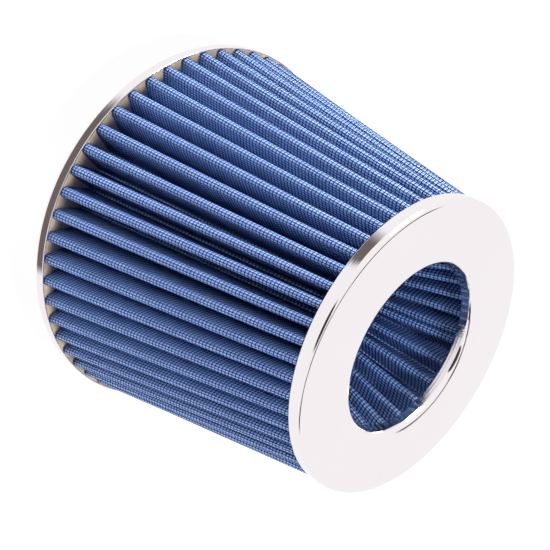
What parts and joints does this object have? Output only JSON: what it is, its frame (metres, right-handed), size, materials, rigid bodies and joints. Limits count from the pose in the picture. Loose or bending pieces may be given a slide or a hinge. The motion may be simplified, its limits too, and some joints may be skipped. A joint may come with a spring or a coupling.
{
  "type": "cone air filter",
  "caption": "Pleated cone air filter with a bright ring cap, an inverted pleated cone in its mouth, a pan at the wide end and a rubber neck for an intake pipe.",
  "frame": {"origin": "middle of the neck's end face, on which the filter stands", "axes": "+Z along the filter's axis from the neck to the ring cap; +X within 2.4 degrees of the inner pack's seam"},
  "size_m": [0.155, 0.155, 0.1462],
  "materials": {
    "bright_metal": "polished plating",
    "blue_media": "blue gauze folded with a fine dark wire screen",
    "cream_resin": "poured potting resin",
    "black_rubber": "moulded, satin"
  },
  "bodies": {
    "root": {"neck_sleeve": "black_rubber", "base_pan": "bright_metal", "base_resin": "cream_resin", "outer_pleats": "blue_media", "top_cap": "bright_metal", "top_resin": "cream_resin", "inner_pleats": "blue_media", "inner_end_cup": "black_rubber"}
  },
  "joints": []
}
